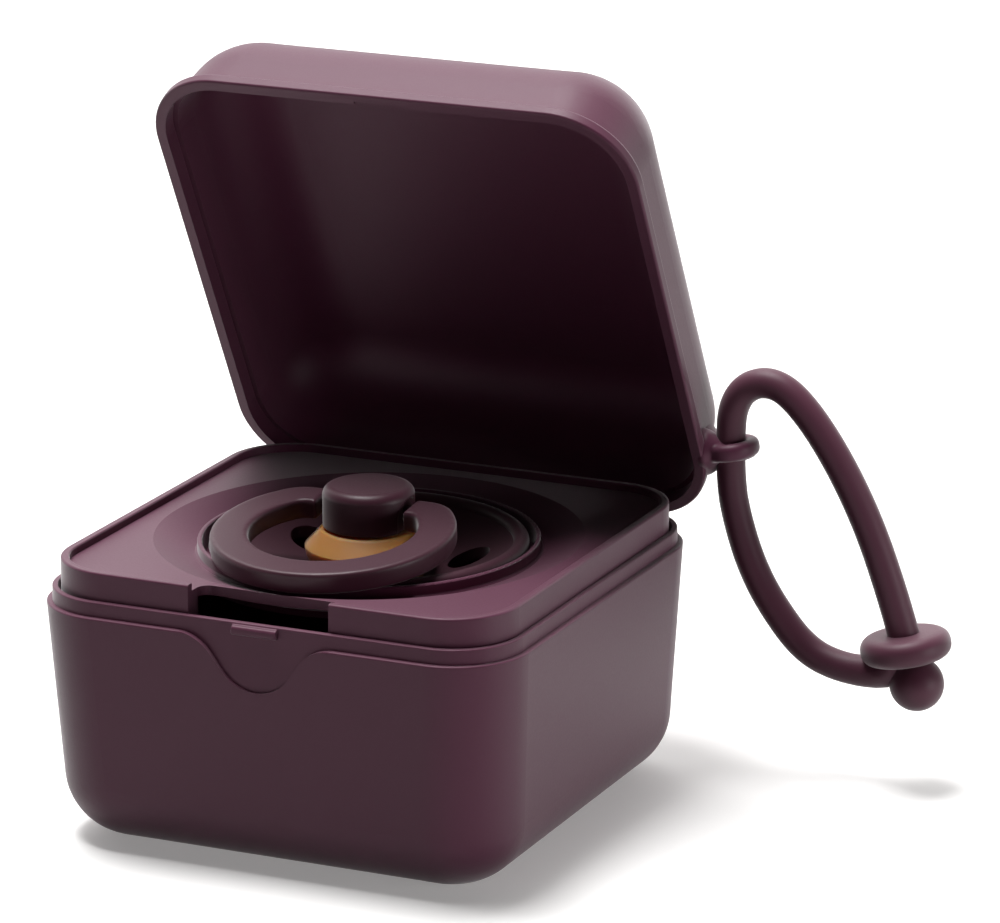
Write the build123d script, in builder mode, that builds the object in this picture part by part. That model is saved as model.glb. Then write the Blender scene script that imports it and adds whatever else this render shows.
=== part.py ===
from build123d import *
import math
import os

# Pacifier sterilizer case: a square snap-shut polypropylene box with a lift-out tray,
# a hinged lid held open by hinge friction, a moulded silicone carrying strap and the
# pacifier that the tray holds. Millimetres, +Z up, front towards -Y, origin on the
# surface that the case stands on, under the middle of the base. The lid is drawn
# standing open.

# ---------------------------------------------------------------- driving dimensions

# base
case_width = 70.0          # outside, both ways, at the parting line
case_corner = 10.4         # plan corner radius at the parting line
base_height = 33.3         # floor to parting line
base_draft = 1.8           # how much each side leans in by the bottom
base_round = 9.3           # round between the walls and the bottom
floor_thickness = 1.9
base_wall = 2.4            # below the tray ledge
edge_round = 0.25          # on the moulding's outer corners
rim_inset = 0.8            # set-back of the nesting rim from the outer wall
rim_thickness = 0.75
rim_height = 2.05          # above the parting line
ledge_depth = 3.3          # tray ledge below the parting line

# thumb scoop and latch nub on the front wall
scoop_depth = 7.3          # down from the parting line
scoop_bowl = 6.0           # radius of its round bottom
scoop_shoulder = 6.1       # radius where it runs out into the parting line
scoop_flank = 54.0         # degrees, slope of its sides
nub_length = 6.6
nub_below_rim = 0.15       # its top edge under the rim's top
nub_height = 1.45
nub_face = 0.4             # upright part of its face, under the ramp
nub_reach = 0.55           # out of the rim's face

# lid
lid_height = 17.9          # above its mouth
lid_draft = 0.9
lid_round = 11.6           # round between its walls and its top
lid_wall = 1.3
lid_gap = 0.1              # between the lid's mouth and the parting line
mouth_depth = 2.5          # nesting recess that covers the base's rim
nest_clearance = 0.22
bead_reach = 1.05          # out of the lid's wall
bead_height = 1.75
bead_round = 0.45          # on its upper edge
mouth_round = 0.35         # on its lower edge, which is the lid's mouth
slot_gap = 0.15            # around the latch nub
lid_opening = 63.0         # degrees from closed, as drawn

# hinge
hinge_reach = 1.6          # axis behind the rear wall
hinge_drop = 0.1           # axis below the parting line
barrel_radius = 1.4
knuckle_length = 26.0
ear_length = 4.0
stub_radius = 0.75
stub_clearance = 0.05
hinge_side_gap = 0.15
hinge_turn_gap = 0.2
gusset_height = 7.5        # from the hinge axis down the rear wall

# strap eyelet on the lid, measured with the lid closed
eyelet_reach = 3.4         # hole's middle, out of the lid's side wall
eyelet_from_hinge = 11.25  # hole's middle, in front of the hinge axis
eyelet_above_hinge = 4.4
eyelet_radius = 3.7
eyelet_thickness = 2.1
eyelet_root_width = 8.8       # the flare, where it leaves the lid's wall
eyelet_root_height = 6.6
eyelet_tip_width = 6.8        # the flare, where it meets the eyelet

# tray
tray_gap = 0.16            # between the tray's skirt and the base's rim
corner_ease = 0.85         # the tray's corners are rounder than the bore's
tray_stand = 5.9           # lip above the parting line
skirt_thickness = 1.2
lip_height = 1.05
plate_thickness = 1.3
seat_gap = 0.05
notch_width = 20.6
notch_depth = 4.1
notch_bridge = 1.6         # strip of skirt left under the notch
notch_cheek = 2.8          # depth of the notch's side walls
dish_radius = 29.3
dish_edge = 2.5            # round where the dish starts
collar_radius = 23.35
collar_thickness = 0.65
collar_top = 4.6           # above the parting line
collar_foot = 2.85         # dish floor at the collar, above the parting line
collar_round = 0.22
seat_top = 1.7             # shield seat, above the parting line
seat_width = 3.2

# pacifier
shield_radius = 21.8
shield_curve = 39.0        # radius of the dished upper face
shield_thickness = 1.5
shield_edge_radius = 1.1   # half the thickness of the rounded edge
shield_lift = 1.7          # dish bottom under the parting line
vent_radius = 2.9
vent_circle = 13.6
vent_first_angle = 32.0
vent_cut_below = 5.0          # the vents are cut from this far below the dish's middle
vent_cut_length = 20.0
shield_bore = 5.2
knob_radius = 6.3
knob_height = 5.7
knob_round = 1.05
pocket_radius = 2.7        # side pockets that the handle's ends face
pocket_depth = 0.75
pocket_drop = 0.5          # middle of the pocket's arch under the pivot
teat_collar_radius = 8.75
teat_collar_height = 7.9   # above the dish's middle
teat_collar_shoulder = 2.25   # the collar's widest point, below its top
teat_neck_radius = 5.0
teat_bulb_radius = 8.2
teat_length = 25.0
teat_wall = 1.4
retainer_bore = 1.6
knob_stem_radius = 1.55
knob_stem_depth = 6.0      # below the dish's middle
retainer_depth = 7.0       # below the dish's middle
teat_throat_depth = 7.5    # where the teat's hollow opens out
pacifier_clearance = 0.05

# handle ring
ring_outer_radius = 16.6
ring_inner_radius = 11.4
ring_thickness = 3.0
ring_edge_round = 0.55
ring_offset = 10.9         # pivot to the ring's middle
ring_back = 1.7            # straight back edge behind the pivot
ring_back_inner = 3.1      # straight inner edge in front of the pivot
ring_corner = 5.0             # where the outer edge turns into the straight back
ring_hole_corner = 2.0        # where the inner edge does
ring_end_gap = 0.25        # between each end and the knob
ring_tilt = 5.5            # degrees, resting on the tray's collar
ring_drop = 3.4            # pivot under the knob's top
ring_stub_radius = 0.9
ring_stub_length = 1.4     # in its socket

# strap
strap_diameter = 4.2
strap_clearance = 0.2
loop_outer_radius = 6.3
loop_thickness = 3.6
loop_round = 1.6
loop_root = 0.7            # straight stub between the lower strand and the ring
ball_radius = 3.8

# ---------------------------------------------------------------- derived places

half = case_width / 2
parting = base_height
hinge_y = half + hinge_reach
hinge_z = parting - hinge_drop
hinge_axis = Axis((0, hinge_y, hinge_z), (1, 0, 0))
rim_half = half - rim_inset
rim_top = parting + rim_height
bore_half = rim_half - rim_thickness
ledge_z = parting - ledge_depth
tray_half = bore_half - tray_gap
tray_corner = case_corner - (half - tray_half) + corner_ease
tray_top = parting + tray_stand
plate_top = tray_top - lip_height
seat_z = parting + seat_top
collar_z = parting + collar_top
collar_inner_radius = collar_radius - collar_thickness
seat_bore = collar_inner_radius - seat_width

# The lid's own frame: origin on the hinge axis, z out of the closed lid's top.
lid_frame = Plane(origin=(0, hinge_y, hinge_z)).rotated((-lid_opening, 0, 0))
mouth_z = parting + lid_gap - hinge_z
lid_middle = Plane(
    origin=lid_frame.from_local_coords(Vector(0, -hinge_y, 0)),
    x_dir=lid_frame.x_dir,
    z_dir=lid_frame.z_dir,
)
lid_up = Axis(lid_middle.origin, lid_middle.z_dir)
mouth_half = rim_half + nest_clearance

# Middle of the eyelet's hole, whose own axis stands upright while the lid is open.
eyelet_x = half + eyelet_reach
eyelet_middle = lid_frame.from_local_coords(
    Vector(eyelet_x, -eyelet_from_hinge, eyelet_above_hinge)
)
eyelet_plane = Plane(origin=eyelet_middle, x_dir=(1, 0, 0), z_dir=(0, 0, 1))


def rounded_square(half_width, corner):
    """A square plan with rounded corners, drawn from half its width."""
    RectangleRounded(2 * half_width, 2 * half_width, corner)


# ---------------------------------------------------------------- base

with BuildPart() as base_cavity:
    # Inside of the base below the tray ledge.
    with BuildSketch(Plane.XY.offset(floor_thickness)):
        rounded_square(half - base_draft - base_wall, case_corner - base_wall)
    with BuildSketch(Plane.XY.offset(ledge_z)):
        rounded_square(half - base_wall, case_corner - base_wall)
    loft()
    floor_edges = base_cavity.faces().sort_by(Axis.Z)[0].edges()
    fillet(floor_edges, case_corner - base_wall - 0.3)

with BuildPart() as base_shell:
    with BuildSketch():
        rounded_square(half - base_draft, case_corner)
    with BuildSketch(Plane.XY.offset(parting)):
        rounded_square(half, case_corner)
    loft()
    bottom_edges = base_shell.faces().sort_by(Axis.Z)[0].edges()
    fillet(bottom_edges, base_round)
    parting_edges = base_shell.faces().sort_by(Axis.Z)[-1].edges()
    fillet(parting_edges, edge_round)
    # nesting rim
    with BuildSketch(Plane.XY.offset(parting)):
        rounded_square(rim_half, case_corner - rim_inset)
    extrude(amount=rim_height)
    rim_edges = base_shell.faces().sort_by(Axis.Z)[-1].edges()
    fillet(rim_edges, 0.2)
    # bore for the tray, down to its ledge, and the water space under it
    with BuildSketch(Plane.XY.offset(ledge_z)):
        rounded_square(bore_half, case_corner - (half - bore_half))
    extrude(amount=rim_top - ledge_z + 1, mode=Mode.SUBTRACT)
    add(base_cavity.part, mode=Mode.SUBTRACT)
    # thumb scoop: the outer wall steps back to the rim's face
    scoop_face = Plane(origin=(0, -rim_half, parting), x_dir=(1, 0, 0), z_dir=(0, -1, 0))
    with BuildSketch(scoop_face):
        with BuildLine():
            half_turn = math.tan(math.radians(scoop_flank / 2))
            bowl_corner = scoop_bowl * half_turn + 0.02
            shoulder_corner = bowl_corner + scoop_depth / math.tan(math.radians(scoop_flank))
            scoop_end = shoulder_corner + scoop_shoulder * half_turn + 0.02
            contour = FilletPolyline(
                (-scoop_end, 0),
                (-shoulder_corner, 0),
                (-bowl_corner, -scoop_depth),
                (bowl_corner, -scoop_depth),
                (shoulder_corner, 0),
                (scoop_end, 0),
                radius=[scoop_shoulder, scoop_bowl, scoop_bowl, scoop_shoulder],
            )
            Polyline(contour @ 1, (scoop_end, 1), (-scoop_end, 1), contour @ 0)
        make_face()
    extrude(amount=rim_inset + 1, mode=Mode.SUBTRACT)
    # latch nub: a ramp on the rim's front face
    nub_top = rim_top - nub_below_rim
    with BuildSketch(Plane.YZ.offset(-nub_length / 2)):
        with BuildLine():
            Polyline(
                (-rim_half + rim_thickness / 2, nub_top),
                (-rim_half, nub_top),
                (-rim_half - nub_reach, nub_top - nub_height + nub_face + 0.1),
                (-rim_half - nub_reach, nub_top - nub_height + 0.1),
                (-rim_half, nub_top - nub_height),
                (-rim_half + rim_thickness / 2, nub_top - nub_height),
                close=True,
            )
        make_face()
    extrude(amount=nub_length)
    # hinge ears with a gusset down the rear wall
    ear_middle = knuckle_length / 2 + hinge_side_gap + ear_length / 2
    for side in (-1, 1):
        ear_start = side * ear_middle - ear_length / 2
        with BuildSketch(Plane.YZ.offset(ear_start)):
            with Locations((hinge_y, hinge_z)):
                Circle(barrel_radius)
            with BuildLine():
                Polyline(
                    (hinge_y - barrel_radius * 0.2, hinge_z),
                    (half - rim_inset, hinge_z - 0.2),
                    (half - rim_inset - 0.4, hinge_z - gusset_height),
                    (half - 0.35, hinge_z - gusset_height + 0.5),
                    (hinge_y + barrel_radius, hinge_z - 0.6),
                    (hinge_y + barrel_radius, hinge_z),
                    close=True,
                )
            make_face()
        extrude(amount=ear_length)
        with BuildSketch(Plane.YZ.offset(ear_start)):
            with Locations((hinge_y, hinge_z)):
                Circle(stub_radius + stub_clearance)
        extrude(amount=ear_length, mode=Mode.SUBTRACT)
base_shell.part.label = "base_shell"

# ---------------------------------------------------------------- tray

with BuildPart() as tray:
    with BuildSketch(Plane.XY.offset(ledge_z + seat_gap)):
        rounded_square(tray_half, tray_corner)
    extrude(amount=tray_top - ledge_z - seat_gap)
    top_edges = tray.faces().sort_by(Axis.Z)[-1].edges()
    fillet(top_edges, 0.35)
    # hollow under the plate
    skirt_half = tray_half - skirt_thickness
    skirt_corner = tray_corner - skirt_thickness
    with BuildSketch(Plane.XY.offset(ledge_z)):
        rounded_square(skirt_half, skirt_corner)
    extrude(amount=plate_top - plate_thickness - ledge_z, mode=Mode.SUBTRACT)
    # shallow pocket inside the lip
    with BuildSketch(Plane.XY.offset(plate_top)):
        rounded_square(skirt_half, skirt_corner)
    extrude(amount=lip_height + 1, mode=Mode.SUBTRACT)
    lip_edges = tray.faces().sort_by(Axis.Z)[-1].inner_wires()[0].edges()
    fillet(lip_edges, edge_round)
    # dish, collar and shield seat are one turned form set into the plate
    turned_radius = dish_radius + plate_thickness / 2
    with BuildSketch(Plane.XY.offset(ledge_z)):
        Circle(turned_radius)
    extrude(amount=tray_top - ledge_z, mode=Mode.SUBTRACT)
    with BuildSketch(Plane.XZ) as turned:
        with BuildLine():
            dish_floor = parting + collar_foot
            seat_under = seat_z - plate_thickness
            Polyline(
                (turned_radius, plate_top),
                (dish_radius, plate_top),
                (collar_radius + 0.35, dish_floor),
                (collar_radius, dish_floor + 0.35),
                (collar_radius, collar_z),
                (collar_inner_radius, collar_z),
                (collar_inner_radius, seat_z),
                (seat_bore, seat_z),
                (seat_bore, seat_under),
                (collar_radius + plate_thickness / 2, seat_under),
                (collar_radius + plate_thickness, dish_floor - plate_thickness),
                (turned_radius, plate_top - plate_thickness),
                close=True,
            )
        make_face()
        corners = turned.vertices()
        fillet([v for v in corners if abs(v.Y - collar_z) < 0.01], collar_round)
        fillet([v for v in corners if abs(v.X - dish_radius) < 0.01], dish_edge)
    revolve(axis=Axis.Z)
    # front notch for a fingertip, through lip, plate and skirt, between two cheeks
    notch_floor = ledge_z + seat_gap + notch_bridge
    with BuildSketch(Plane.XY.offset(ledge_z + seat_gap)):
        for side in (-1, 1):
            with Locations((side * (notch_width / 2 + skirt_thickness / 2), -skirt_half)):
                Rectangle(
                    skirt_thickness,
                    notch_cheek - skirt_thickness,
                    align=(Align.CENTER, Align.MIN),
                )
    extrude(amount=plate_top - plate_thickness / 2 - ledge_z - seat_gap)
    with BuildSketch(Plane.XY.offset(notch_floor)):
        with Locations((0, -tray_half + notch_depth, 0)):
            RectangleRounded(notch_width, 2 * notch_depth, 1.6, align=(Align.CENTER, Align.MAX))
    extrude(amount=tray_top - notch_floor + 1, mode=Mode.SUBTRACT)
tray.part.label = "tray"

# ---------------------------------------------------------------- lid

with BuildPart() as lid_cavity:
    with BuildSketch(lid_middle.offset(mouth_z)):
        rounded_square(mouth_half, case_corner - (half - mouth_half))
    extrude(amount=mouth_depth)
    with BuildSketch(lid_middle.offset(mouth_z + mouth_depth)):
        rounded_square(half - lid_wall, case_corner - lid_wall)
    with BuildSketch(lid_middle.offset(mouth_z + lid_height - lid_wall)):
        rounded_square(half - lid_draft - lid_wall, lid_round - lid_wall + 0.9)
    loft()
    ceiling_edges = lid_cavity.faces().sort_by(lid_up)[-1].edges()
    fillet(ceiling_edges, lid_round - lid_wall)

with BuildPart() as lid_bead:
    with BuildSketch(lid_middle.offset(mouth_z)):
        rounded_square(half + bead_reach, case_corner + bead_reach)
    extrude(amount=bead_height)
    fillet(lid_bead.faces().sort_by(lid_up)[0].edges(), mouth_round)
    fillet(lid_bead.faces().sort_by(lid_up)[-1].edges(), bead_round)

with BuildPart() as lid_shell:
    with BuildSketch(lid_middle.offset(mouth_z)):
        rounded_square(half, case_corner)
    with BuildSketch(lid_middle.offset(mouth_z + lid_height)):
        rounded_square(half - lid_draft, lid_round + 0.9)
    loft()
    crown_edges = lid_shell.faces().sort_by(lid_up)[-1].edges()
    fillet(crown_edges, lid_round)
    # rounded bead around the mouth
    add(lid_bead.part)
    # hinge knuckle, with the web that carries it from the bead
    with BuildSketch(Plane.YZ.offset(-knuckle_length / 2)):
        with Locations((hinge_y, hinge_z)):
            Circle(barrel_radius)
    extrude(amount=knuckle_length)
    knuckle_frame = Plane(
        origin=lid_frame.from_local_coords(Vector(-knuckle_length / 2, 0, 0)),
        x_dir=lid_frame.y_dir,
        z_dir=(1, 0, 0),
    )
    with BuildSketch(knuckle_frame):
        with BuildLine():
            web_back = -hinge_reach - lid_wall / 2
            Polyline(
                (0, 0),
                (web_back, mouth_z),
                (web_back, bead_height + mouth_z),
                (-barrel_radius * 0.2, barrel_radius),
                (barrel_radius * 0.6, barrel_radius * 0.8),
                close=True,
            )
        make_face()
    extrude(amount=knuckle_length)
    # room for the base's ears, then the stub pins that turn in them
    ear_room = ear_length + 2 * hinge_side_gap
    for side in (-1, 1):
        room_start = side * ear_middle - ear_room / 2
        with BuildSketch(Plane.YZ.offset(room_start)):
            with Locations((hinge_y, hinge_z)):
                Circle(barrel_radius + hinge_turn_gap)
        extrude(amount=ear_room, mode=Mode.SUBTRACT)
        with BuildSketch(Plane.YZ.offset(side * knuckle_length / 2)):
            with Locations((hinge_y, hinge_z)):
                Circle(stub_radius)
        extrude(amount=side * (ear_length - 0.4 + hinge_side_gap))
    # strap eyelet: a flat ring that flares into the side wall
    with BuildSketch(Plane(origin=eyelet_middle, x_dir=(1, 0, 0), z_dir=(0, -1, 0))) as lobe:
        with Locations((eyelet_radius / 2, 0)):
            Rectangle(eyelet_radius, eyelet_thickness)
        fillet(lobe.vertices().sort_by(Axis.X)[-2:], eyelet_thickness * 0.42)
    revolve(axis=Axis(eyelet_middle, (0, 0, 1)))
    flare_root = Plane(
        origin=eyelet_middle - Vector(eyelet_reach + lid_wall / 2, 0, 0),
        x_dir=(0, 1, 0),
        z_dir=(1, 0, 0),
    )
    with BuildSketch(flare_root):
        Ellipse(eyelet_root_width / 2, eyelet_root_height / 2)
    with BuildSketch(flare_root.offset(eyelet_reach - strap_diameter / 2 + lid_wall / 2 - 0.5)):
        Ellipse(eyelet_tip_width / 2, eyelet_thickness / 2 - 0.05)
    loft()
    # cavity, latch slot and the eyelet's hole
    add(lid_cavity.part, mode=Mode.SUBTRACT)
    slot_plane = Plane(
        origin=lid_middle.from_local_coords(Vector(0, -mouth_half + 0.5, mouth_z)),
        x_dir=(1, 0, 0),
        z_dir=lid_middle.z_dir,
    )
    with BuildSketch(slot_plane):
        Rectangle(
            nub_length + 0.6,
            nub_reach + slot_gap - nest_clearance + 0.5,
            align=(Align.CENTER, Align.MAX),
        )
    extrude(amount=rim_height - nub_below_rim - lid_gap - slot_gap, mode=Mode.SUBTRACT)
    with BuildSketch(eyelet_plane.offset(-eyelet_thickness)):
        Circle(strap_diameter / 2 + strap_clearance)
    extrude(amount=2 * eyelet_thickness, mode=Mode.SUBTRACT)
lid_shell.part.label = "lid_shell"

# ---------------------------------------------------------------- pacifier

dish_z = parting - shield_lift                    # middle of the dish's upper face
curve_z = dish_z + shield_curve                   # centre of the dish's sphere
under_curve = shield_curve + shield_thickness


def dish_height(radius, curve=shield_curve):
    """Height of the dished face at a distance from the pacifier's axis."""
    return curve_z - math.sqrt(curve**2 - radius**2)


edge_middle = shield_radius - shield_edge_radius
edge_middle_z = (dish_height(edge_middle) + dish_height(edge_middle, under_curve)) / 2 + 0.3

with BuildPart() as pacifier_shield:
    with BuildSketch(Plane.XZ):
        with BuildLine():
            outer_end = (edge_middle, dish_height(edge_middle))
            inner_end = (shield_bore, dish_height(shield_bore))
            middle = (shield_radius / 2, dish_height(shield_radius / 2))
            upper = ThreePointArc(inner_end, middle, outer_end)
            under_outer = (edge_middle, dish_height(edge_middle, under_curve))
            under_inner = (shield_bore, dish_height(shield_bore, under_curve))
            under_middle = (shield_radius / 2, dish_height(shield_radius / 2, under_curve))
            lower = ThreePointArc(under_outer, under_middle, under_inner)
            Line(upper @ 1, lower @ 0)
            Line(lower @ 1, upper @ 0)
        make_face()
        with Locations((edge_middle, edge_middle_z)):
            Circle(shield_edge_radius)
    revolve(axis=Axis.Z)
    with BuildSketch(Plane.XY.offset(dish_z - vent_cut_below)):
        with PolarLocations(vent_circle, 3, start_angle=vent_first_angle):
            Circle(vent_radius)
    extrude(amount=vent_cut_length, mode=Mode.SUBTRACT)
pacifier_shield.part.label = "pacifier_shield"

knob_foot = dish_z + teat_collar_height          # underside of the knob
knob_top = knob_foot + knob_height
pivot_z = knob_top - ring_drop
pocket_floor = knob_radius - pocket_depth
teat_bore = retainer_bore + 1.95
teat_tip = dish_z - shield_thickness - teat_length

with BuildPart() as pacifier_nipple:
    with BuildSketch(Plane.XZ):
        with BuildLine():
            seat_out = teat_collar_radius - 1.4
            foot_out = (seat_out, dish_height(seat_out) + pacifier_clearance)
            foot_in = (shield_bore - pacifier_clearance, foot_out[1] - 0.2)
            neck_in_hole = (shield_bore - pacifier_clearance, dish_z - shield_thickness - 0.4)
            collar_top_z = knob_foot - pacifier_clearance
            top = Line((teat_bore, collar_top_z), (knob_radius + 0.35, collar_top_z))
            shoulder = Spline(
                top @ 1,
                (teat_collar_radius, collar_top_z - teat_collar_shoulder),
                foot_out,
                tangents=((1, -0.2), (-0.3, -1)),
            )
            seat = Line(shoulder @ 1, foot_in)
            bore_side = Line(seat @ 1, neck_in_hole)
            bulb_z = teat_tip + teat_bulb_radius * 0.92
            outside = Spline(
                bore_side @ 1,
                (teat_neck_radius, dish_z - teat_throat_depth + 1),
                (teat_bulb_radius, bulb_z),
                (0, teat_tip),
                tangents=((-0.1, -1), (-1, 0)),
            )
            tip_wall = Line(outside @ 1, (0, teat_tip + teat_wall))
            inside = Spline(
                tip_wall @ 1,
                (teat_bulb_radius - teat_wall, bulb_z),
                (teat_bore, dish_z - teat_throat_depth),
                tangents=((1, 0), (0, 1)),
            )
            Line(inside @ 1, top @ 0)
        make_face()
    revolve(axis=Axis.Z)
pacifier_nipple.part.label = "pacifier_nipple"

with BuildPart() as pacifier_retainer:
    # sleeve pressed into the teat's neck, holding the latex out against the shield
    with BuildSketch(Plane.XY.offset(dish_z - retainer_depth)):
        Circle(teat_bore - pacifier_clearance)
        Circle(retainer_bore, mode=Mode.SUBTRACT)
    extrude(amount=knob_foot - pacifier_clearance - dish_z + retainer_depth)
    sleeve_edges = pacifier_retainer.faces().sort_by(Axis.Z)[0].outer_wire().edges()
    chamfer(sleeve_edges, 0.6)
pacifier_retainer.part.label = "pacifier_retainer"

with BuildPart() as pacifier_knob:
    with BuildSketch(Plane.XY.offset(knob_foot)):
        Circle(knob_radius)
    extrude(amount=knob_height)
    cap_edges = pacifier_knob.faces().sort_by(Axis.Z)[-1].edges()
    fillet(cap_edges, knob_round)
    with BuildSketch(Plane.XY.offset(dish_z - knob_stem_depth)):
        Circle(knob_stem_radius)
    extrude(amount=knob_foot - dish_z + knob_stem_depth)
    # arched side pockets, each with a socket for one of the handle's stub pins
    for side in (-1, 1):
        with BuildSketch(Plane.YZ.offset(side * pocket_floor)):
            with Locations((0, pivot_z - pocket_drop)):
                Circle(pocket_radius)
                Rectangle(
                    2 * pocket_radius, knob_height, align=(Align.CENTER, Align.MAX)
                )
        extrude(amount=side * (pocket_depth + 1), mode=Mode.SUBTRACT)
        with BuildSketch(Plane.YZ.offset(side * pocket_floor)):
            with Locations((0, pivot_z)):
                Circle(ring_stub_radius + pacifier_clearance)
        extrude(amount=-side * (ring_stub_length + 0.2), mode=Mode.SUBTRACT)
pacifier_knob.part.label = "pacifier_knob"

ring_plane = Plane(origin=(0, 0, pivot_z)).rotated((ring_tilt, 0, 0))
ring_end_x = knob_radius + ring_end_gap
with BuildPart() as pacifier_ring:
    with BuildSketch(ring_plane.offset(-ring_thickness / 2)) as ring_outline:
        with Locations((0, -ring_offset)):
            Circle(ring_outer_radius)
        with Locations((0, ring_back)):
            Rectangle(
                4 * ring_outer_radius,
                2 * ring_outer_radius,
                align=(Align.CENTER, Align.MIN),
                mode=Mode.SUBTRACT,
            )
        fillet(ring_outline.vertices(), ring_corner)
        with BuildSketch(mode=Mode.PRIVATE) as ring_hole:
            with Locations((0, -ring_offset)):
                Circle(ring_inner_radius)
            with Locations((0, -ring_back_inner)):
                Rectangle(
                    4 * ring_outer_radius,
                    2 * ring_outer_radius,
                    align=(Align.CENTER, Align.MIN),
                    mode=Mode.SUBTRACT,
                )
            fillet(ring_hole.vertices(), ring_hole_corner)
        add(ring_hole.sketch, mode=Mode.SUBTRACT)
        with Locations((0, -ring_back_inner - 0.6)):
            Rectangle(
                2 * ring_end_x,
                ring_back_inner + ring_back + 2,
                align=(Align.CENTER, Align.MIN),
                mode=Mode.SUBTRACT,
            )
    extrude(amount=ring_thickness)
    ring_up = Axis(ring_plane.origin, ring_plane.z_dir)
    ring_faces = pacifier_ring.faces().sort_by(ring_up)
    fillet(ring_faces[0].edges() + ring_faces[-1].edges(), ring_edge_round)
    for side in (-1, 1):
        with BuildSketch(Plane.YZ.offset(side * (ring_end_x + 0.5))):
            with Locations((0, pivot_z)):
                Circle(ring_stub_radius)
        extrude(amount=-side * (ring_end_x + 0.5 - pocket_floor + ring_stub_length))
pacifier_ring.part.label = "pacifier_ring"

# ---------------------------------------------------------------- strap

# Both strands leave the middle of the eyelet's hole and lie in one upright plane.
# Their points are steps from the eyelet, out from the lid and up.
upper_steps = [
    (0.0, 0.0),
    (0.0, 2.9),
    (0.3, 5.8),
    (1.6, 8.4),
    (4.0, 9.9),
    (6.8, 9.9),
    (9.6, 8.2),
    (13.2, 4.1),
    (17.1, -1.9),
    (20.7, -9.0),
    (23.6, -16.7),
    (25.7, -23.2),
    (26.95, -27.5),
]
lower_steps = [
    (0.0, 0.0),
    (0.0, -5.2),
    (1.2, -10.7),
    (3.2, -16.5),
    (6.2, -21.8),
    (11.3, -27.9),
    (17.4, -29.9),
    (20.8, -29.7),
]


def route(steps):
    """A strand's points in space, from its steps in the strap's plane."""
    return [eyelet_middle + Vector(out, 0, up) for out, up in steps]


def bend_radii(points):
    """The largest tangent arc at each inner point: 0.45 of the shorter run."""
    radii = []
    for before, here, after in zip(points, points[1:], points[2:]):
        run_in = here - before
        run_out = after - here
        half_turn = math.radians(run_in.get_angle(run_out)) / 2
        shorter = min(run_in.length, run_out.length)
        radii.append(0.45 * shorter / math.tan(half_turn))
    return radii


def strand_path(points):
    """Straight runs joined by tangent arcs."""
    return FilletPolyline(*points, radius=bend_radii(points))


upper_points = route(upper_steps)
with BuildPart() as strap_strand_upper:
    with BuildLine():
        upper_path = strand_path(upper_points)
    with BuildSketch(Plane(origin=upper_path @ 0, z_dir=upper_path % 0)):
        Circle(strap_diameter / 2)
    sweep()
strap_strand_upper.part.label = "strap_strand_upper"

lower_points = route(lower_steps)
with BuildPart() as strap_strand_lower:
    with BuildLine():
        lower_path = strand_path(lower_points)
    with BuildSketch(Plane(origin=lower_path @ 0, z_dir=lower_path % 0)):
        Circle(strap_diameter / 2)
    sweep()
strap_strand_lower.part.label = "strap_strand_lower"

# The upper strand ends on a flat of the ball, which lies behind the closing ring.
pull = upper_path % 1
ball_flat = math.sqrt(ball_radius**2 - (strap_diameter / 2) ** 2)
ball_middle = (upper_path @ 1) + pull * ball_flat
ball_plane = Plane(origin=ball_middle, x_dir=(0, 1, 0), z_dir=-pull)
with BuildPart() as strap_ball:
    with BuildSketch(Plane(origin=ball_middle, x_dir=ball_plane.z_dir, z_dir=(0, 1, 0))):
        with BuildLine():
            ball_back = (-ball_radius, 0)
            ball_side = (0, ball_radius)
            flat_rim = (ball_flat, strap_diameter / 2)
            bow = ThreePointArc(ball_back, ball_side, flat_rim)
            Polyline(bow @ 1, (ball_flat, 0), ball_back)
        make_face()
    revolve(axis=Axis(ball_middle, pull))
strap_ball.part.label = "strap_ball"

loop_middle = ball_middle - pull * (ball_radius + loop_thickness / 2 - 0.15)
loop_bore = strap_diameter / 2 + strap_clearance
with BuildPart() as strap_ring:
    with BuildSketch(Plane(origin=loop_middle, x_dir=ball_plane.z_dir, z_dir=(0, 1, 0))) as section:
        with Locations((0, (loop_bore + loop_outer_radius) / 2)):
            RectangleRounded(loop_thickness, loop_outer_radius - loop_bore, loop_round)
    revolve(axis=Axis(loop_middle, pull))
    # root of the lower strand, rounded off inside the ring's underside
    with BuildSketch(Plane(origin=lower_path @ 1, z_dir=lower_path % 1)):
        Circle(strap_diameter / 2)
    extrude(amount=loop_root)
    with Locations((lower_path @ 1) + (lower_path % 1) * loop_root):
        Sphere(strap_diameter / 2)
    add(strap_strand_lower.part, mode=Mode.SUBTRACT)
strap_ring.part.label = "strap_ring"

# ---------------------------------------------------------------- export

pieces = [
    base_shell,
    tray,
    lid_shell,
    pacifier_shield,
    pacifier_nipple,
    pacifier_retainer,
    pacifier_knob,
    pacifier_ring,
    strap_strand_upper,
    strap_strand_lower,
    strap_ball,
    strap_ring,
]
os.makedirs("parts", exist_ok=True)
for piece in pieces:
    export_step(piece.part, f"parts/{piece.part.label}.step")

for name, points, strand in (
    ("upper", upper_points, (upper_path, strap_strand_upper)),
    ("lower", lower_points, (lower_path, strap_strand_lower)),
):
    path, solid = strand
    tube_volume = math.pi * (strap_diameter / 2) ** 2 * path.length
    radii_text = ", ".join(f"{radius:.1f}" for radius in bend_radii(points))
    print(f"{name} strand: length {path.length:.1f}, radii {radii_text}")
    print(f"{name} strand: volume {solid.part.volume:.0f} of {tube_volume:.0f}")
print("eyelet", eyelet_middle, "hinge", hinge_y, hinge_z, "pivot", pivot_z)
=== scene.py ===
import math

import bmesh
import bpy
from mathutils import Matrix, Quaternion, Vector


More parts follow.
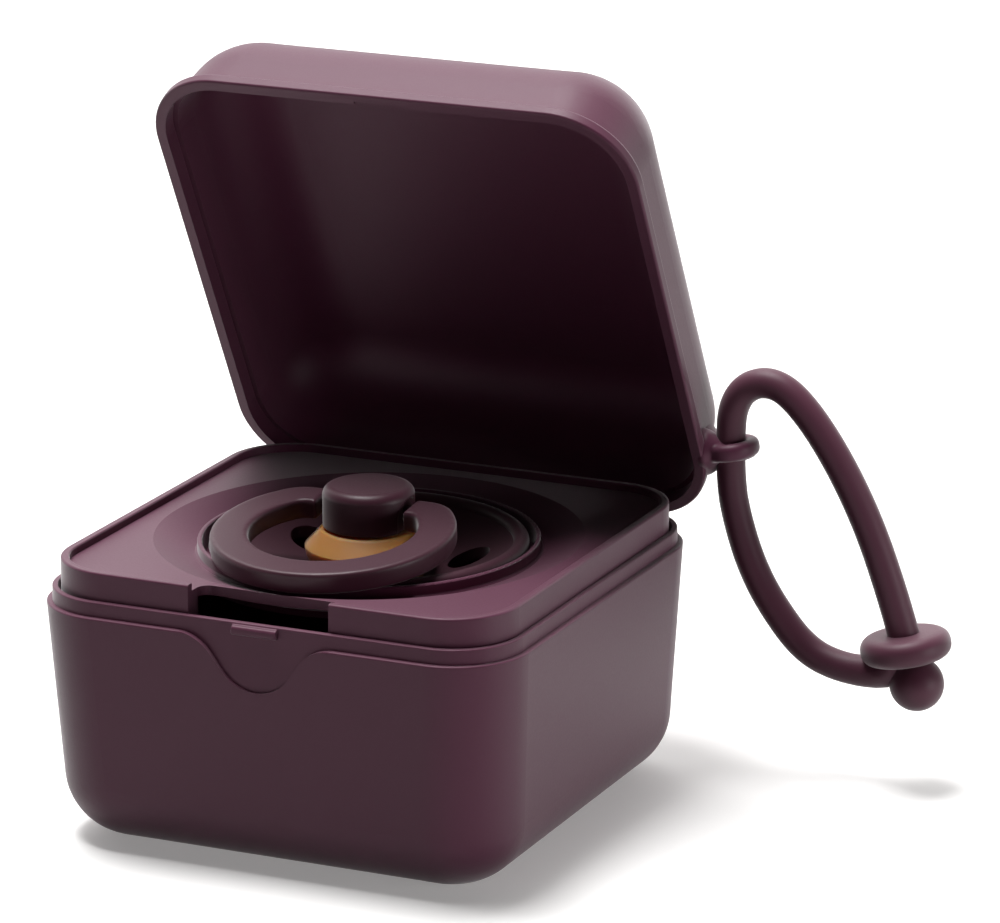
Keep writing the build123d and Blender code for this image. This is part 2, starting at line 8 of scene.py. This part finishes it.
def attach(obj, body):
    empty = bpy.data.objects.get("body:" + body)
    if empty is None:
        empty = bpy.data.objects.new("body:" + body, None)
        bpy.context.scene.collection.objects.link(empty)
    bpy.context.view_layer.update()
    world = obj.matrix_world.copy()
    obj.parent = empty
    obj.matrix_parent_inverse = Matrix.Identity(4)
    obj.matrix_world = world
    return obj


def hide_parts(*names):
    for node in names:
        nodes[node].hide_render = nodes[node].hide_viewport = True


# A pacifier sterilizer case standing open on a pale table: moulded polypropylene box, tray and
# lid, a silicone carrying loop and a pacifier with a latex teat. Metres, +Z up, front to -Y.

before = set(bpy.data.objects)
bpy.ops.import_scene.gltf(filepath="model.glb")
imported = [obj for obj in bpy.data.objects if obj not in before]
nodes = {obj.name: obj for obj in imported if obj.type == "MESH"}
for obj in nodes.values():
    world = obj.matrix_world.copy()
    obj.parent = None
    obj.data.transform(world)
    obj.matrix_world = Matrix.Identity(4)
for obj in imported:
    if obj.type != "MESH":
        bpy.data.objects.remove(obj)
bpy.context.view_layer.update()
scene = bpy.context.scene
MM = 0.001


def link(piece):
    """Puts a new object into the scene."""
    scene.collection.objects.link(piece)
    return piece


# ---------------------------------------------------------------- camera

camera_data = bpy.data.cameras.new("product_camera")
camera_data.sensor_fit = "HORIZONTAL"
camera_data.sensor_width = 36.0
camera_data.lens = 208.035
camera_data.clip_start = 0.05
camera_data.clip_end = 60.0
camera = link(bpy.data.objects.new("product_camera", camera_data))
camera_at = Vector((331.934, -672.819, 269.635)) * MM
looks_at = Vector((17.639, 4.367, 49.269)) * MM
camera_roll = Quaternion((0, 0, 1), math.radians(-0.401))
camera.location = camera_at
camera.rotation_mode = "QUATERNION"
camera.rotation_quaternion = (looks_at - camera_at).to_track_quat("-Z", "Y") @ camera_roll
scene.camera = camera

# ---------------------------------------------------------------- materials


def linear(code):
    """Linear colour with full alpha from an sRGB hex value."""
    parts = [int(code[i : i + 2], 16) / 255 for i in (0, 2, 4)]
    return [c / 12.92 if c <= 0.04045 else ((c + 0.055) / 1.055) ** 2.4 for c in parts] + [1.0]


def add_node(tree, kind, values=None, links=None, **settings):
    """Adds a node with its settings, its sockets' values and what is linked into them."""
    made = tree.nodes.new(kind)
    for name, value in settings.items():
        setattr(made, name, value)
    for socket, value in (values or {}).items():
        made.inputs[socket].default_value = value
    for socket, source in (links or {}).items():
        tree.links.new(source, made.inputs[socket])
    return made


def new_material(name):
    """An empty material with its tree, its shader and its output."""
    material = bpy.data.materials.new(name)
    material.use_nodes = True
    tree = material.node_tree
    tree.nodes.clear()
    shader = add_node(tree, "ShaderNodeBsdfPrincipled")
    add_node(tree, "ShaderNodeOutputMaterial", links={"Surface": shader.outputs["BSDF"]})
    return material, tree, shader


CLOUD_MM = 26.0


def moulded(name, colour, pale, roughness, grain_mm, grain_depth_mm, bloom):
    """A moulded skin: the tool's grain, in relief and in gloss, and faint clouds where it flowed."""
    material, tree, shader = new_material(name)
    place = add_node(tree, "ShaderNodeTexCoord").outputs["Object"]
    grain = add_node(
        tree,
        "ShaderNodeTexNoise",
        {"Scale": 1000.0 / grain_mm, "Detail": 2.0, "Roughness": 0.6},
        {"Vector": place},
    )
    clouds = add_node(
        tree,
        "ShaderNodeTexNoise",
        {"Scale": 1000.0 / CLOUD_MM, "Detail": 3.0, "Roughness": 0.5},
        {"Vector": place},
    )
    tint = add_node(
        tree,
        "ShaderNodeMix",
        {"A": linear(colour), "B": linear(pale)},
        {"Factor": clouds.outputs["Fac"]},
        data_type="RGBA",
    )
    tree.links.new(tint.outputs["Result"], shader.inputs["Base Color"])
    dull = add_node(
        tree,
        "ShaderNodeMapRange",
        {"From Min": 0.3, "From Max": 0.7, "To Min": roughness - 0.04, "To Max": roughness + 0.04},
        {"Value": grain.outputs["Fac"]},
    )
    tree.links.new(dull.outputs["Result"], shader.inputs["Roughness"])
    bump = add_node(
        tree,
        "ShaderNodeBump",
        {"Strength": 0.35, "Distance": grain_depth_mm * MM},
        {"Height": grain.outputs["Fac"]},
    )
    tree.links.new(bump.outputs["Normal"], shader.inputs["Normal"])
    shader.inputs["IOR"].default_value = 1.49
    shader.inputs["Specular IOR Level"].default_value = 0.35
    shader.inputs["Sheen Weight"].default_value = bloom
    shader.inputs["Sheen Roughness"].default_value = 0.45
    return material


# Polypropylene moulded in a spark-eroded tool: an even matt skin that greys where light grazes it.
# The real grain is nearer 0.1 mm across, and is drawn coarser here and below so that it shows.
case_skin = moulded(
    "polypropylene_spark_eroded",
    "58223D",
    "5E2843",
    roughness=0.5,
    grain_mm=0.3,
    grain_depth_mm=0.02,
    bloom=0.45,
)
# The same resin from a finer tool: a satin skin with a softer grain.
pacifier_skin = moulded(
    "polypropylene_satin_moulded",
    "3E1627",
    "431A2B",
    roughness=0.45,
    grain_mm=0.22,
    grain_depth_mm=0.01,
    bloom=0.32,
)
# Silicone rubber, compression moulded: dead matt, with a pale dusty bloom on its flanks.
strap_skin = moulded(
    "silicone_rubber_matt_moulded",
    "54273A",
    "5A2D40",
    roughness=0.52,
    grain_mm=0.25,
    grain_depth_mm=0.008,
    bloom=0.35,
)
# Natural rubber latex, dipped: amber, cloudy and lit from within, with a soft shine. The dip
# leaves slow ripples in place of a tool's grain.
latex_skin = moulded(
    "natural_latex_dipped",
    "AC763A",
    "B48144",
    roughness=0.5,
    grain_mm=1.2,
    grain_depth_mm=0.01,
    bloom=0.1,
)
latex_shader = next(n for n in latex_skin.node_tree.nodes if n.type == "BSDF_PRINCIPLED")
latex_shader.inputs["Subsurface Weight"].default_value = 0.85
latex_shader.inputs["Subsurface Radius"].default_value = (1.0, 0.45, 0.15)
latex_shader.inputs["Subsurface Scale"].default_value = 3.0 * MM

skins = {
    "case_plastic": case_skin,
    "pacifier_plastic": pacifier_skin,
    "strap_silicone": strap_skin,
    "latex": latex_skin,
}
for node in nodes.values():
    for held in node.material_slots:
        held.material = skins[held.material.name.split(".")[0]]

# ---------------------------------------------------------------- strap

STRAP_DIAMETER = 4.2 * MM
EYELET_MIDDLE = Vector((38.4, 35.413, 45.2214)) * MM
# Each strand's steps from the eyelet's middle, out from the lid and up, in millimetres.
UPPER_STEPS = [
    (0.0, 0.0),
    (0.0, 2.9),
    (0.3, 5.8),
    (1.6, 8.4),
    (4.0, 9.9),
    (6.8, 9.9),
    (9.6, 8.2),
    (13.2, 4.1),
    (17.1, -1.9),
    (20.7, -9.0),
    (23.6, -16.7),
    (25.7, -23.2),
    (26.95, -27.5),
]
LOWER_STEPS = [
    (0.0, 0.0),
    (0.0, -5.2),
    (1.2, -10.7),
    (3.2, -16.5),
    (6.2, -21.8),
    (11.3, -27.9),
    (17.4, -29.9),
    (20.8, -29.7),
]


def strand(name, steps, slim, full):
    """One strand of the loop, drawn by its steps and thickening from slim to full."""
    curve = bpy.data.curves.new(name, "CURVE")
    curve.dimensions = "3D"
    curve.bevel_depth = STRAP_DIAMETER / 2
    curve.bevel_resolution = 9
    curve.resolution_u = 16
    curve.use_fill_caps = True
    spline = curve.splines.new("NURBS")
    spline.points.add(len(steps) - 1)
    for i, (out, up) in enumerate(steps):
        point = EYELET_MIDDLE + Vector((out, 0, up)) * MM
        spline.points[i].co = (*point, 1.0)
        spline.points[i].radius = slim + (full - slim) * i / (len(steps) - 1)
    spline.order_u = 3
    spline.use_endpoint_u = True
    curve.materials.append(strap_skin)
    return link(bpy.data.objects.new(name, curve))


upper_strand = strand("strap_upper_strand", UPPER_STEPS, slim=0.97, full=1.08)
lower_strand = strand("strap_lower_strand", LOWER_STEPS, slim=0.97, full=1.04)
for piece, node in ((upper_strand, "strap_strand_upper"), (lower_strand, "strap_strand_lower")):
    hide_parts(node)
    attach(piece, "strap")

# ---------------------------------------------------------------- softened mouldings


def settle(piece):
    """Turns a piece's modifiers into plain mesh and takes them off."""
    graph = bpy.context.evaluated_depsgraph_get()
    finished = bpy.data.meshes.new_from_object(piece.evaluated_get(graph))
    piece.modifiers.clear()
    piece.data = finished
    return piece


SAME_POINT = 0.002 * MM


def merged_copy(node, name):
    """A copy of a solid's mesh with its loose triangles joined up and its old shading dropped."""
    mesh = nodes[node].data.copy()
    mesh.name = name
    solid = bmesh.new()
    solid.from_mesh(mesh)
    bmesh.ops.remove_doubles(solid, verts=solid.verts, dist=SAME_POINT)
    solid.to_mesh(mesh)
    solid.free()
    if "custom_normal" in mesh.attributes:
        mesh.attributes.remove(mesh.attributes["custom_normal"])
    return link(bpy.data.objects.new(name, mesh))


def melted(piece, cell_mm, rounds):
    """Joins a piece's overlapping shapes into one skin and melts the corners between them."""
    cells = piece.modifiers.new("cells", "REMESH")
    cells.mode = "VOXEL"
    cells.voxel_size = cell_mm * MM
    cells.use_smooth_shade = True
    polish = piece.modifiers.new("polish", "SMOOTH")
    polish.factor = 0.5
    polish.iterations = rounds
    return settle(piece)


def moulding(piece, skin, body, node=None):
    """Gives a piece its skin and its body, and stands it in for a plain solid."""
    piece.data.materials.clear()
    piece.data.materials.append(skin)
    if node:
        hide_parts(node)
    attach(piece, body)
    return piece


def reshape(piece, rule):
    """Moves every point of a piece by a rule that takes and gives millimetres."""
    for vertex in piece.data.vertices:
        vertex.co = rule(vertex.co / MM) * MM
    piece.data.update()
    return piece


def joined(name, *pieces):
    """One piece made of several, which are used up."""
    shape = bmesh.new()
    for piece in pieces:
        shape.from_mesh(piece.data)
        bpy.data.objects.remove(piece)
    mesh = bpy.data.meshes.new(name)
    shape.to_mesh(mesh)
    shape.free()
    return link(bpy.data.objects.new(name, mesh))


LOFT_STEPS = 48


def loft(name, sections, squareness=2.0):
    """A closed skin over oval sections, each a middle and two half axes; above 2 they square up."""
    power = 2 / squareness
    shape = bmesh.new()
    rings = []
    for middle, across, up in sections:
        points = []
        for i in range(LOFT_STEPS):
            c = math.cos(2 * math.pi * i / LOFT_STEPS)
            s = math.sin(2 * math.pi * i / LOFT_STEPS)
            wide = math.copysign(abs(c) ** power, c)
            high = math.copysign(abs(s) ** power, s)
            points.append(middle + across * wide + up * high)
        rings.append([shape.verts.new(point * MM) for point in points])
    for ring, following in zip(rings, rings[1:]):
        for i in range(LOFT_STEPS):
            j = (i + 1) % LOFT_STEPS
            shape.faces.new((ring[i], ring[j], following[j], following[i]))
    shape.faces.new(rings[0])
    shape.faces.new(rings[-1])
    bmesh.ops.recalc_face_normals(shape, faces=shape.faces)
    mesh = bpy.data.meshes.new(name)
    shape.to_mesh(mesh)
    shape.free()
    return link(bpy.data.objects.new(name, mesh))


def ring_tree():
    """Geometry nodes that sweep a rounded section round a circle."""
    tree = bpy.data.node_groups.new("swept_ring", "GeometryNodeTree")
    tree.interface.new_socket("Geometry", in_out="OUTPUT", socket_type="NodeSocketGeometry")
    for name in ("Middle radius", "Section width", "Section height", "Corner radius"):
        tree.interface.new_socket(name, in_out="INPUT", socket_type="NodeSocketFloat")
    tree.interface.new_socket("Skin", in_out="INPUT", socket_type="NodeSocketMaterial")
    given = add_node(tree, "NodeGroupInput")
    circle = add_node(
        tree,
        "GeometryNodeCurvePrimitiveCircle",
        {"Resolution": 96},
        {"Radius": given.outputs["Middle radius"]},
    )
    section = add_node(
        tree,
        "GeometryNodeCurvePrimitiveQuadrilateral",
        links={
            "Width": given.outputs["Section width"],
            "Height": given.outputs["Section height"],
        },
    )
    rounded = add_node(
        tree,
        "GeometryNodeFilletCurve",
        {"Count": 8},
        {"Curve": section.outputs["Curve"], "Radius": given.outputs["Corner radius"]},
        mode="POLY",
    )
    swept = add_node(
        tree,
        "GeometryNodeCurveToMesh",
        links={"Curve": circle.outputs["Curve"], "Profile Curve": rounded.outputs["Curve"]},
    )
    real = add_node(
        tree, "GeometryNodeRealizeInstances", links={"Geometry": swept.outputs["Mesh"]}
    )
    skinned = add_node(
        tree,
        "GeometryNodeSetMaterial",
        links={"Geometry": real.outputs["Geometry"], "Material": given.outputs["Skin"]},
    )
    add_node(tree, "NodeGroupOutput", links={"Geometry": skinned.outputs["Geometry"]})
    return tree


swept_ring_tree = ring_tree()


def swept_ring(name, middle, axis, middle_radius, width, height, corner, skin):
    """A rounded ring about an axis, sizes in millimetres."""
    ring = link(bpy.data.objects.new(name, bpy.data.meshes.new(name)))
    sweep = ring.modifiers.new("sweep", "NODES")
    sweep.node_group = swept_ring_tree
    values = {
        "Middle radius": middle_radius * MM,
        "Section width": width * MM,
        "Section height": height * MM,
        "Corner radius": corner * MM,
        "Skin": skin,
    }
    for socket in swept_ring_tree.interface.items_tree:
        if socket.in_out == "INPUT":
            sweep[socket.identifier] = values[socket.name]
    settle(ring)
    turn = axis.to_track_quat("Z", "Y")
    return reshape(ring, lambda point: turn @ point + middle)


def in_strap(out, up):
    """A place in the strap's upright plane, from its steps out from the lid and up."""
    return EYELET_MIDDLE / MM + Vector((out, 0, up))


ACROSS = Vector((0, 1, 0))

# The closing ring: a fat ring with the lower strand's root melted into its underside.
ring_axis = Vector((-0.16, 0, 0.987)).normalized()
ring_middle = in_strap(26.15, -25.35)
ring_body = swept_ring(
    "ring_body",
    ring_middle,
    ring_axis,
    middle_radius=3.2,
    width=6.3,
    height=3.8,
    corner=1.7,
    skin=strap_skin,
)
root_sections = []
# Each section's place, the slope of the strap through it, and its half width and half thickness.
for out, up, slope, wide, thick in (
    (17.6, -29.61, -0.12, 2.14, 2.14),
    (19.1, -29.72, -0.03, 2.22, 2.22),
    (20.6, -29.7, 0.04, 2.27, 2.26),
    (22.0, -29.6, 0.12, 2.35, 2.28),
    (23.4, -29.3, 0.3, 2.6, 2.3),
    (24.4, -28.6, 0.7, 2.7, 2.3),
    (25.0, -27.6, 1.1, 2.6, 2.0),
    (25.3, -26.8, 1.3, 2.4, 1.8),
):
    upward = Vector((-math.sin(slope), 0, math.cos(slope)))
    root_sections.append((in_strap(out, up), ACROSS * wide, upward * thick))
closing_ring = joined("strap_closing_ring", ring_body, loft("ring_root", root_sections))
melted(closing_ring, cell_mm=0.13, rounds=34)
moulding(closing_ring, strap_skin, "strap", "strap_ring")

# The eyelet: a rounded ring that flares out of the lid's wall. The flare starts square to the lid,
# inside its wall, and turns upright by the time it meets the ring.
EYELET_BORE = 2.08
LID_OPENING = math.radians(63)
FLARE_START = -3.8
FLARE_TURN = 3.0
eyelet_axis = Vector((-0.15, 0, 0.989)).normalized()
eyelet_body = swept_ring(
    "eyelet_body",
    EYELET_MIDDLE / MM,
    eyelet_axis,
    middle_radius=3.05,
    width=1.95,
    height=2.5,
    corner=0.95,
    skin=case_skin,
)
lid_up = Vector((0, math.sin(LID_OPENING), math.cos(LID_OPENING)))
lid_back = Vector((0, math.cos(LID_OPENING), -math.sin(LID_OPENING)))
flare_sections = []
# Each section's reach from the eyelet's middle, its drop, and its half length and half height.
for out, drop, along, rise in (
    (FLARE_START, 1.3, 3.5, 2.85),
    (-2.7, 1.3, 3.5, 2.85),
    (-2.2, 1.2, 3.4, 2.65),
    (-1.8, 0.95, 3.3, 2.3),
    (-1.3, 0.6, 3.2, 1.95),
    (-0.7, 0.25, 3.15, 1.6),
    (0.2, 0.0, 3.15, 1.25),
):
    share = min(1.0, (out - FLARE_START) / FLARE_TURN)
    across = (-lid_back).lerp(-ACROSS, share).normalized()
    up = lid_up.lerp(Vector((0, 0, 1)), share).normalized()
    flare_sections.append((in_strap(out, 0) - lid_up * drop, across * along, up * rise))
flare = loft("eyelet_flare", flare_sections, squareness=2.5)
eyelet = joined("lid_eyelet", eyelet_body, flare)
melted(eyelet, cell_mm=0.1, rounds=50)


def bored(point):
    """Keeps the strap's hole open through the eyelet."""
    away = Vector((point.x - EYELET_MIDDLE.x / MM, point.y - EYELET_MIDDLE.y / MM, 0))
    if 0 < away.length < EYELET_BORE:
        return point + away.normalized() * (EYELET_BORE - away.length)
    return point


reshape(eyelet, bored)
moulding(eyelet, case_skin, "lid")

# The latch nub's rounded cap: its outline from the side, back and up, drawn across the nub.
NUB_HALF_WIDTH = 3.28
nub_outline = [
    (-34.05, 35.2),
    (-34.34, 35.1),
    (-34.45, 34.97),
    (-34.66, 34.86),
    (-34.8, 34.62),
    (-34.84, 34.2),
    (-34.8, 33.88),
    (-34.6, 33.72),
    (-34.05, 33.7),
]
nub_shape = bmesh.new()
nub_ends = []
for x in (-NUB_HALF_WIDTH, NUB_HALF_WIDTH):
    nub_ends.append([nub_shape.verts.new(Vector((x, y, z)) * MM) for y, z in nub_outline])
for i in range(len(nub_outline)):
    j = (i + 1) % len(nub_outline)
    nub_shape.faces.new((nub_ends[0][i], nub_ends[0][j], nub_ends[1][j], nub_ends[1][i]))
for end in nub_ends:
    nub_shape.faces.new(end)
bmesh.ops.recalc_face_normals(nub_shape, faces=nub_shape.faces)
nub_mesh = bpy.data.meshes.new("latch_nub_cap")
nub_shape.to_mesh(nub_mesh)
nub_shape.free()
nub = link(bpy.data.objects.new("latch_nub_cap", nub_mesh))
melted(nub, cell_mm=0.06, rounds=14)
moulding(nub, case_skin, "base")

# The pacifier's handle and knob, their edges melted as a polished mould leaves them.
handle = melted(merged_copy("pacifier_ring", "handle_ring_soft"), cell_mm=0.17, rounds=16)
moulding(handle, pacifier_skin, "handle_ring", "pacifier_ring")

KNOB_RADIUS = 6.3
KNOB_TOP = 45.2
KNOB_ROUND = 1.35


def rolled_over(point):
    """Rolls the knob's upper edge over."""
    reach = math.hypot(point.x, point.y)
    if point.z > KNOB_TOP - KNOB_ROUND:
        rise = point.z - (KNOB_TOP - KNOB_ROUND)
        most = KNOB_RADIUS - KNOB_ROUND + math.sqrt(max(KNOB_ROUND**2 - rise**2, 0.0))
        if reach > most:
            point = Vector((point.x * most / reach, point.y * most / reach, point.z))
    return point


knob = melted(merged_copy("pacifier_knob", "knob_soft"), cell_mm=0.13, rounds=5)
reshape(knob, rolled_over)
moulding(knob, pacifier_skin, "pacifier", "pacifier_knob")

# The teat, with the flat bevelled face that its collar shows round the knob.
COLLAR_TOP = 39.45
COLLAR_FOOT = 34
BEVEL_START = 6.35
BEVEL_SLOPE = 1.08


def bevelled(point):
    """Cuts the bulge of the teat's collar down to a flat bevel."""
    reach = math.hypot(point.x, point.y)
    if reach > BEVEL_START and point.z > COLLAR_FOOT:
        bevel = COLLAR_TOP - (reach - BEVEL_START) * BEVEL_SLOPE
        point = Vector((point.x, point.y, min(point.z, bevel)))
    return point


teat = merged_copy("pacifier_nipple", "teat_soft")
reshape(teat, bevelled)
teat.data.shade_smooth()
moulding(teat, latex_skin, "pacifier", "pacifier_nipple")

# ---------------------------------------------------------------- table and light

TABLE_HALF_WIDTH = 6.0
table_mesh = bpy.data.meshes.new("table_top")
table_shape = bmesh.new()
bmesh.ops.create_grid(table_shape, x_segments=1, y_segments=1, size=TABLE_HALF_WIDTH)
table_shape.to_mesh(table_mesh)
table_shape.free()
table = link(bpy.data.objects.new("table_top", table_mesh))
# Painted board, rolled: plain off-white with a faint roller stipple.
STIPPLE_MM = 2.0
table_skin, table_tree, table_shader = new_material("painted_board_rolled")
table_place = add_node(table_tree, "ShaderNodeTexCoord").outputs["Object"]
stipple = add_node(
    table_tree, "ShaderNodeTexNoise", {"Scale": 1000.0 / STIPPLE_MM}, {"Vector": table_place}
)
table_bump = add_node(
    table_tree,
    "ShaderNodeBump",
    {"Strength": 0.1, "Distance": 0.05 * MM},
    {"Height": stipple.outputs["Fac"]},
)
table_tree.links.new(table_bump.outputs["Normal"], table_shader.inputs["Normal"])
table_shader.inputs["Base Color"].default_value = linear("F4F3F2")
table_shader.inputs["Roughness"].default_value = 0.9
table_shader.inputs["Specular IOR Level"].default_value = 0.1
# The board is lit a little from below, which keeps the shadow on it pale.
table_shader.inputs["Emission Color"].default_value = linear("F4F3F2")
table_shader.inputs["Emission Strength"].default_value = 0.26
table_mesh.materials.append(table_skin)
table.visible_diffuse = False

# The studio: dark, with a bright wall behind on the left, a faint one behind on the right, and low
# reflectors in front and on the right. Each glow has its direction, how square to that a direction
# has to be for the glow to start and to be full, and its strength.
AMBIENT = 0.01
GLOWS = (
    ((-0.42, 0.86, 0.29), 0.35, 0.95, 1.5),
    ((0.42, 0.86, 0.29), 0.5, 1.0, 0.06),
    ((0.0, -0.97, -0.24), 0.75, 1.0, 0.2),
    ((0.95, -0.2, -0.24), 0.75, 1.0, 0.16),
)
world = bpy.data.worlds.new("studio")
world.use_nodes = True
studio = world.node_tree
studio.nodes.clear()
facing = add_node(studio, "ShaderNodeTexCoord").outputs["Generated"]
total = None
for towards, start, full, strength in GLOWS:
    square_on = add_node(
        studio, "ShaderNodeVectorMath", {1: towards}, {0: facing}, operation="DOT_PRODUCT"
    )
    glow = add_node(
        studio,
        "ShaderNodeMapRange",
        {"From Min": start, "From Max": full, "To Min": 0.0, "To Max": strength},
        {"Value": square_on.outputs["Value"]},
        interpolation_type="SMOOTHSTEP",
    )
    terms = {1: glow.outputs["Result"]}
    if total:
        terms[0] = total
    total = add_node(studio, "ShaderNodeMath", {0: AMBIENT}, terms).outputs["Value"]
sky = add_node(
    studio, "ShaderNodeBackground", {"Color": linear("FAF9F8")}, {"Strength": total}
)
add_node(studio, "ShaderNodeOutputWorld", links={"Surface": sky.outputs["Background"]})
scene.world = world


CASE_MIDDLE = Vector((0, 0, 0.04))


def softbox(name, place, size, watts):
    """A square soft light aimed at the case."""
    light = bpy.data.lights.new(name, "AREA")
    light.shape = "SQUARE"
    light.size = size
    light.energy = watts
    lamp = link(bpy.data.objects.new(name, light))
    lamp.location = place
    lamp.rotation_mode = "QUATERNION"
    lamp.rotation_quaternion = (CASE_MIDDLE - Vector(place)).to_track_quat("-Z", "Y")


softbox("rear_left_softbox", (-0.6, 0.6, 1.2), size=0.9, watts=4.5)
softbox("top_softbox", (-0.24, 0.08, 1.4), size=0.55, watts=26.5)
softbox("low_right_card", (0.42, 0.0, 0.02), size=0.16, watts=0.7)

scene.view_settings.view_transform = "Standard"
scene.view_settings.look = "None"
